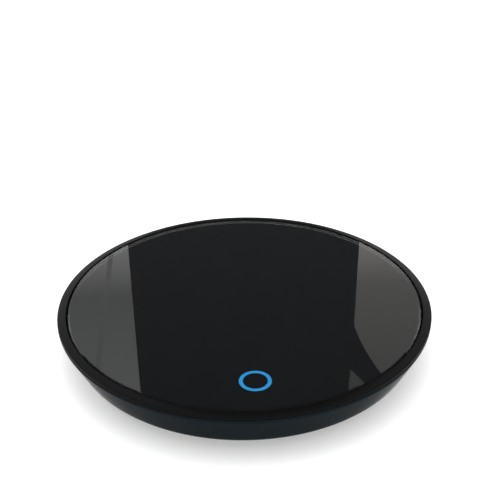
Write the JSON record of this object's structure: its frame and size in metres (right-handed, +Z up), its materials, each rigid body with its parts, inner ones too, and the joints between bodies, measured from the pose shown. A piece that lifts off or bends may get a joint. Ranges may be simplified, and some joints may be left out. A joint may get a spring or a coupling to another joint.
{
  "type": "electric mug warmer",
  "caption": "Low round electric mug warmer with a black glass top, touch ring and tapered dark casing; the glass presses down under a mug to switch the heat on.",
  "frame": {"origin": "on the table under the centre of the warmer, at the soles of the feet", "axes": "+Z up through the centre of the glass, -Y towards the touch ring at the front, +Y towards the power inlet"},
  "size_m": [0.13, 0.13, 0.018],
  "materials": {
    "housing": "satin",
    "bezel": "gloss",
    "cover": "matte",
    "rubber": "matte",
    "glass": "polished",
    "print": "matte",
    "carrier": "matte",
    "spreader": "satin",
    "heater": "satin",
    "insulation": "matte",
    "zinc_steel": "satin",
    "spring_steel": "bright",
    "light_guide": "frosted",
    "led": "clear",
    "circuit_board": "satin",
    "component_black": "matte",
    "capacitor": "satin",
    "connector": "satin",
    "plunger": "satin",
    "contact": "polished",
    "thermal_fuse": "satin",
    "sensor": "gloss",
    "wire_red": "satin",
    "wire_white": "satin",
    "wire_black": "satin"
  },
  "bodies": {
    "base": {"bowl_housing": "housing", "top_bezel": "bezel", "base_cover": "cover", "foot_rear_right": "rubber", "foot_rear_left": "rubber", "foot_front_left": "rubber", "foot_front_right": "rubber", "base_screws": "zinc_steel", "board_screws": "zinc_steel", "plate_spring_right": "spring_steel", "plate_spring_rear_left": "spring_steel", "plate_spring_front_left": "spring_steel", "control_board": "circuit_board", "controller_chip": "component_black", "power_transistor": "component_black", "voltage_regulator": "component_black", "power_inductor": "component_black", "chip_resistors": "component_black", "dc_jack": "component_black", "switch_housing": "component_black", "filter_capacitors": "capacitor", "heater_connector": "connector", "sensor_connector": "connector", "inlet_connector": "connector", "key_connector": "connector", "dc_jack_pin": "contact", "heater_leads": "wire_red", "sensor_leads": "wire_white", "key_cable": "wire_white", "inlet_leads": "wire_black"},
    "warming_plate": {"glass_plate": "glass", "black_print": "print", "plate_carrier": "carrier", "heat_spreader": "spreader", "heater_film": "heater", "insulation_pad": "insulation", "clamp_plate": "zinc_steel", "clamp_screws": "zinc_steel", "thermal_fuse": "thermal_fuse", "temperature_sensor": "sensor", "light_guide": "light_guide", "key_board": "circuit_board", "blue_leds": "led", "touch_spring": "spring_steel", "key_board_screws": "zinc_steel", "retaining_screws": "zinc_steel"},
    "switch_plunger": {"switch_plunger": "plunger"}
  },
  "joints": [
    {"name": "plate_press", "type": "slide", "parent": "base", "child": "warming_plate", "axis": [0, 0, -1], "range_m": [0, 0.0008], "stiffness_N_per_m": 2500, "springref_m": -0.0008, "deforming": ["plate_spring_right", "plate_spring_rear_left", "plate_spring_front_left", "heater_leads", "sensor_leads", "key_cable"]},
    {"name": "switch_press", "type": "slide", "parent": "base", "child": "switch_plunger", "axis": [0, 0, -1], "range_m": [0, 0.0008]}
  ],
  "couplings": [
    {"joint": "switch_press", "follows": "plate_press", "ratio": 1}
  ]
}
